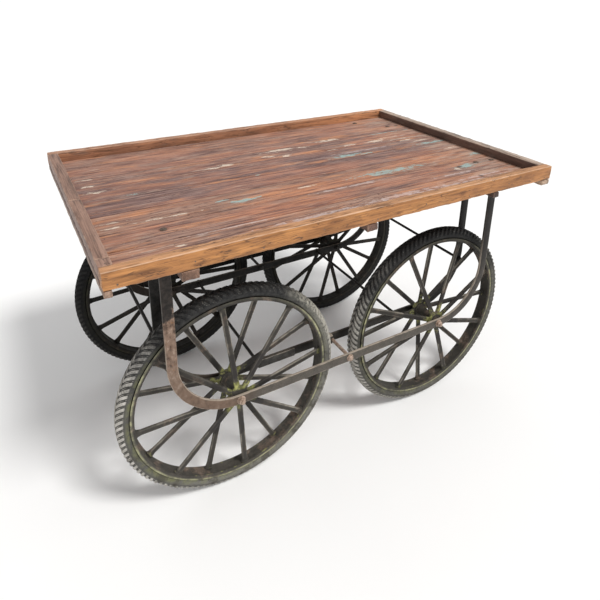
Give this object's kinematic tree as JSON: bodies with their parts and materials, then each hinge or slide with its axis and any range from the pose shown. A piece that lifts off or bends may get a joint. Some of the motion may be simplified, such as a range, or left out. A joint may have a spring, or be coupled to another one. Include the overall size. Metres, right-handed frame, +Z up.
{
  "type": "weathered wooden hand cart",
  "caption": "Weathered wooden cart: a shallow plank tray on bent steel bars that hold large spoked wheels with rubber tyres, free to roll.",
  "frame": {"origin": "on the floor, below the middle of the tray", "axes": "+X along the tray, -Y towards the front long side, +Z up"},
  "size_m": [1.58, 1.004, 0.962],
  "materials": {
    "deck_wood": "worn purple-brown planks with scraps of old pale blue and cream paint",
    "rail_wood": "waxed honey-brown hardwood with dark knots and worn pale edges",
    "bearer_wood": "dry pinkish-brown hardwood",
    "bar_iron": "old black paint rusting brown",
    "wheel_iron": "dusty black-brown iron with green moss at the joints",
    "bolt_steel": "rusty steel",
    "tyre_rubber": "dusty weathered rubber with a slanted tread"
  },
  "bodies": {
    "cart_frame": {"deck_plank_1": "deck_wood", "deck_plank_2": "deck_wood", "deck_plank_3": "deck_wood", "deck_plank_4": "deck_wood", "deck_plank_5": "deck_wood", "deck_plank_6": "deck_wood", "deck_plank_7": "deck_wood", "deck_plank_8": "deck_wood", "rail_front": "rail_wood", "rail_rear": "rail_wood", "rail_left_front": "rail_wood", "rail_left_middle": "rail_wood", "rail_left_rear": "rail_wood", "rail_right": "rail_wood", "bearer_1": "bearer_wood", "bearer_2": "bearer_wood", "bearer_3": "bearer_wood", "bearer_4": "bearer_wood", "bearer_5": "bearer_wood", "bar_front_outer": "bar_iron", "bar_front_inner": "bar_iron", "bar_rear_inner": "bar_iron", "bar_rear_outer": "bar_iron", "tie_hub_left": "bar_iron", "tie_hub_right": "bar_iron", "tie_leg_left": "bar_iron", "tie_leg_right": "bar_iron", "bar_rod_front": "bolt_steel", "bar_rod_rear": "bolt_steel", "axle_front_left": "bolt_steel", "axle_front_right": "bolt_steel", "axle_rear_left": "bolt_steel", "axle_rear_right": "bolt_steel"},
    "wheel_front_left": {"wheel_spokes_front_left": "wheel_iron", "rim_front_left": "wheel_iron", "tyre_front_left": "tyre_rubber"},
    "wheel_front_right": {"wheel_spokes_front_right": "wheel_iron", "rim_front_right": "wheel_iron", "tyre_front_right": "tyre_rubber"},
    "wheel_rear_left": {"wheel_spokes_rear_left": "wheel_iron", "rim_rear_left": "wheel_iron", "tyre_rear_left": "tyre_rubber"},
    "wheel_rear_right": {"wheel_spokes_rear_right": "wheel_iron", "rim_rear_right": "wheel_iron", "tyre_rear_right": "tyre_rubber"}
  },
  "joints": [
    {"name": "roll_front_left", "type": "hinge", "parent": "cart_frame", "child": "wheel_front_left", "pos_m": [-0.4165, -0.347, 0.36522], "axis": [0, 1, 0], "continuous": true},
    {"name": "roll_front_right", "type": "hinge", "parent": "cart_frame", "child": "wheel_front_right", "pos_m": [0.3985, -0.347, 0.36522], "axis": [0, 1, 0], "continuous": true},
    {"name": "roll_rear_left", "type": "hinge", "parent": "cart_frame", "child": "wheel_rear_left", "pos_m": [-0.4165, 0.347, 0.36522], "axis": [0, 1, 0], "continuous": true},
    {"name": "roll_rear_right", "type": "hinge", "parent": "cart_frame", "child": "wheel_rear_right", "pos_m": [0.3985, 0.347, 0.36522], "axis": [0, 1, 0], "continuous": true}
  ]
}
